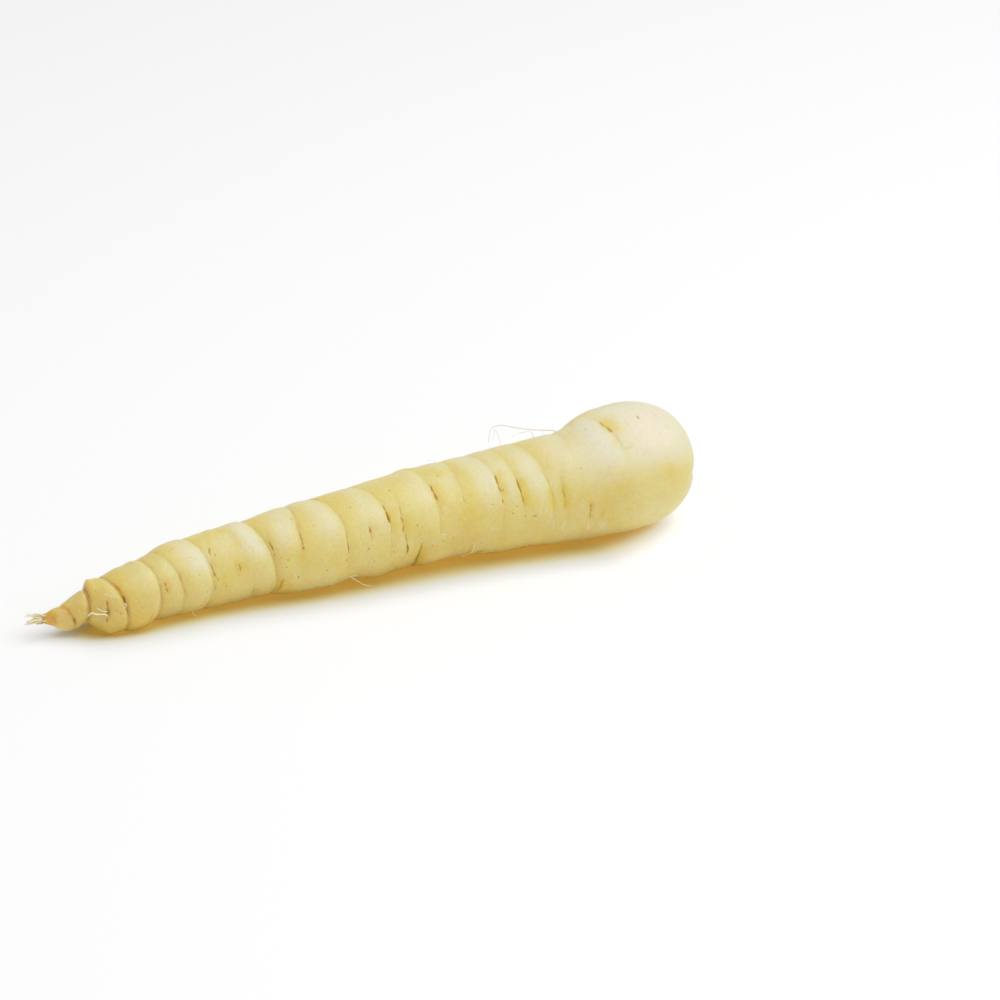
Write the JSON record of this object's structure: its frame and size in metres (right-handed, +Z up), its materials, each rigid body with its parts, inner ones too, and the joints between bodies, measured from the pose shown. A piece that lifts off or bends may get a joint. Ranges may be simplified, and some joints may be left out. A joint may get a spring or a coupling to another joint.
{
  "type": "white carrot",
  "caption": "A white carrot, topped and washed: a blunt-shouldered, tapering root with transverse furrows, a thin fringed tail and short cut leaf bases in the crown, lying on its side.",
  "frame": {"origin": "The middle of the carrot's footprint, on the surface that it lies on: the middle of its bounding box seen from above, at its lowest point.", "axes": "+X runs along the root from its tail to its crown, +Z is up as it lies on its side, and +Y points to its back, so that -Y is the side seen in the picture."},
  "size_m": [0.1796, 0.0344, 0.0325],
  "materials": {
    "root_skin": "ivory to cream-yellow washed root skin, satin, with brown marks in its furrows",
    "leaf_base": "pale green cut leaf stalks, matt"
  },
  "bodies": {
    "root": {"taproot": "root_skin", "leaf_bases": "leaf_base"}
  },
  "joints": []
}
